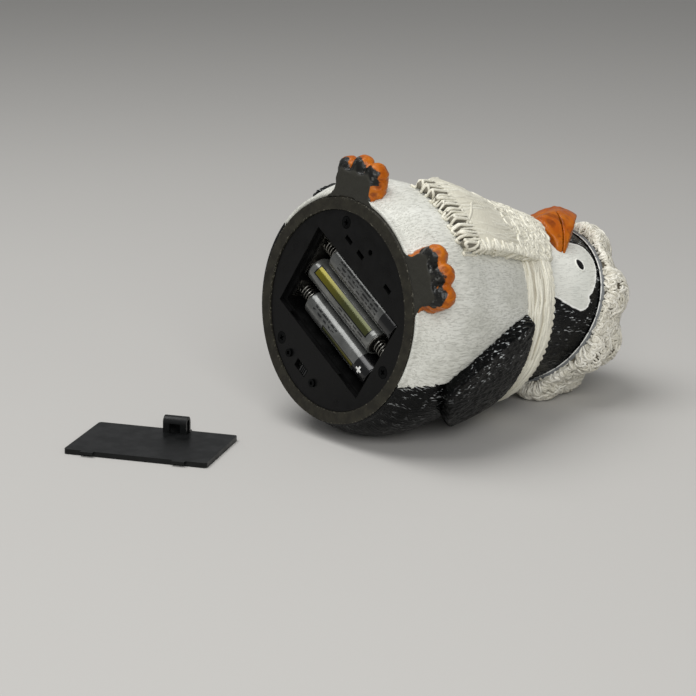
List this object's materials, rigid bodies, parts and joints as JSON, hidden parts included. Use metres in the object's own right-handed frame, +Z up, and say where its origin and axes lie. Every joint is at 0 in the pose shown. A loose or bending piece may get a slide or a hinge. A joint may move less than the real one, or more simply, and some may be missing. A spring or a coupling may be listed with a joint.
{
  "type": "penguin figurine with a battery base",
  "caption": "Painted resin penguin in a knitted hat and scarf, lying on its back with its battery bay open and the bay's cover beside it.",
  "frame": {"origin": "middle of the floor area that the figure and the cover take up, on the floor", "axes": "+X along the figure from its base to its hat, +Z up from the floor, +Y to the figure's right"},
  "size_m": [0.2362, 0.124, 0.1093],
  "materials": {
    "body_paint": "satin",
    "head_paint": "gloss",
    "flipper_paint": "gloss",
    "orange_paint": "gloss",
    "eye_paint": "gloss",
    "knit_paint": "satin",
    "hem_paint": "satin",
    "base_plastic": "satin",
    "screw_steel": "satin",
    "contact_metal": "polished",
    "cell_sleeve": "gloss",
    "switch_metal": "satin",
    "slider_plastic": "satin",
    "board_laminate": "satin",
    "lamp_epoxy": "polished"
  },
  "bodies": {
    "figurine": {"body_casting": "body_paint", "head_casting": "head_paint", "beak_upper": "orange_paint", "beak_lower": "orange_paint", "left_eye": "eye_paint", "right_eye": "eye_paint", "left_foot": "orange_paint", "right_foot": "orange_paint", "left_flipper": "flipper_paint", "right_flipper": "flipper_paint", "scarf_collar": "knit_paint", "scarf_tail": "knit_paint", "hat_hem": "hem_paint", "hat_crown": "knit_paint", "battery_box": "base_plastic", "box_screws": "screw_steel", "contact_plates": "contact_metal", "contact_springs": "contact_metal", "switch_body": "switch_metal", "switch_screws": "screw_steel", "circuit_board": "board_laminate", "led_lamp": "lamp_epoxy", "led_leads": "contact_metal"},
    "slider": {"switch_slider": "slider_plastic"},
    "cell_1": {"battery_1": "cell_sleeve"},
    "cell_2": {"battery_2": "cell_sleeve"},
    "cell_3": {"battery_3": "cell_sleeve"},
    "cover": {"cover_plate": "base_plastic"},
    "latch": {"cover_latch": "base_plastic"}
  },
  "joints": [
    {"name": "cover_lift", "type": "slide", "parent": "figurine", "child": "cover", "axis": [0, 0, 1], "range_m": [0, 0.06]},
    {"name": "latch_flex", "type": "hinge", "parent": "cover", "child": "latch", "pos_m": [-0.07275, 0.03367, 0.0057], "axis": [-0.5461, 0.8377, 0], "range_deg": [0, 10], "stiffness_Nm_per_rad": 0.05},
    {"name": "switch_slide", "type": "slide", "parent": "figurine", "child": "slider", "axis": [0.0594, 0.8649, 0.4984], "range_m": [0, 0.003]},
    {"name": "cell_1_lift", "type": "slide", "parent": "figurine", "child": "cell_1", "axis": [-0.993, 0, 0.1184], "range_m": [0, 0.024]},
    {"name": "cell_2_lift", "type": "slide", "parent": "figurine", "child": "cell_2", "axis": [-0.993, 0, 0.1184], "range_m": [0, 0.024]},
    {"name": "cell_3_lift", "type": "slide", "parent": "figurine", "child": "cell_3", "axis": [-0.993, 0, 0.1184], "range_m": [0, 0.024]}
  ]
}
